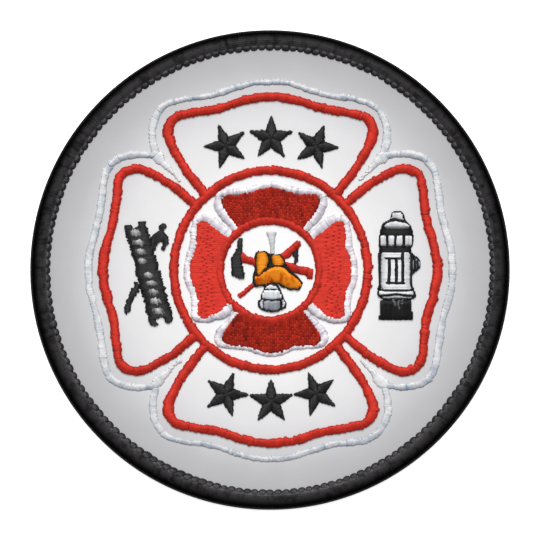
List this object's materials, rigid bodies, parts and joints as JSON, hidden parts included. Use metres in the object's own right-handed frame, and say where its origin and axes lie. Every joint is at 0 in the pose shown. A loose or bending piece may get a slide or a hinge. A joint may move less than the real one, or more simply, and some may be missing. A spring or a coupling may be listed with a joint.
{
  "type": "embroidered shoulder patch",
  "caption": "Round embroidered cloth shoulder patch with a wrapped thread edge, satin-stitched cross and rings, and small stitched pictures; sewn to a sleeve by its edge.",
  "frame": {"origin": "centre of the round back, on the plane that the border rests on", "axes": "+Z out of the stitched face, +Y to the top of the picture, +X to its right"},
  "size_m": [0.1016, 0.1016, 0.0024],
  "materials": {
    "cloth": "plain woven twill, matt",
    "border_thread": "merrowing yarn, soft satin",
    "red_thread": "rayon embroidery thread, satin",
    "white_thread": "rayon embroidery thread, satin",
    "black_thread": "rayon embroidery thread, satin",
    "orange_thread": "rayon embroidery thread, satin",
    "grey_thread": "rayon embroidery thread, satin"
  },
  "bodies": {
    "root": {"axe_handle_inner": "red_thread", "axe_handle_outer": "red_thread", "axe_head": "black_thread", "ground": "cloth", "helmet_brim": "orange_thread", "helmet_crown_front": "orange_thread", "helmet_crown_rear": "orange_thread", "helmet_outline": "black_thread", "hook_pole_lower": "black_thread", "hook_pole_upper": "black_thread", "horn_bell": "grey_thread", "horn_neck": "grey_thread", "horn_outline": "black_thread", "horn_stem": "grey_thread", "horn_waist": "grey_thread", "hub_ring": "red_thread", "hydrant_barrel": "white_thread", "hydrant_base": "black_thread", "hydrant_bonnet": "white_thread", "hydrant_cap": "white_thread", "hydrant_collar": "white_thread", "hydrant_flange": "white_thread", "hydrant_nozzle": "grey_thread", "hydrant_outline": "black_thread", "ladder": "black_thread", "merrowed_border": "border_thread", "pike_hook": "black_thread", "pike_pole_lower": "red_thread", "pike_pole_upper": "red_thread", "red_arm_bottom": "red_thread", "red_arm_left": "red_thread", "red_arm_right": "red_thread", "red_arm_top": "red_thread", "red_panel_bottom": "red_thread", "red_panel_left": "red_thread", "red_panel_right": "red_thread", "red_panel_top": "red_thread", "red_ring": "red_thread", "star_bottom_1": "black_thread", "star_bottom_2": "black_thread", "star_bottom_3": "black_thread", "star_top_1": "black_thread", "star_top_2": "black_thread", "star_top_3": "black_thread", "white_border_bottom": "white_thread", "white_border_left": "white_thread", "white_border_right": "white_thread", "white_border_top": "white_thread", "white_notch_ne": "white_thread", "white_notch_nw": "white_thread", "white_notch_se": "white_thread", "white_notch_sw": "white_thread", "white_outline_bottom": "white_thread", "white_outline_left": "white_thread", "white_outline_right": "white_thread", "white_outline_top": "white_thread"}
  },
  "joints": []
}
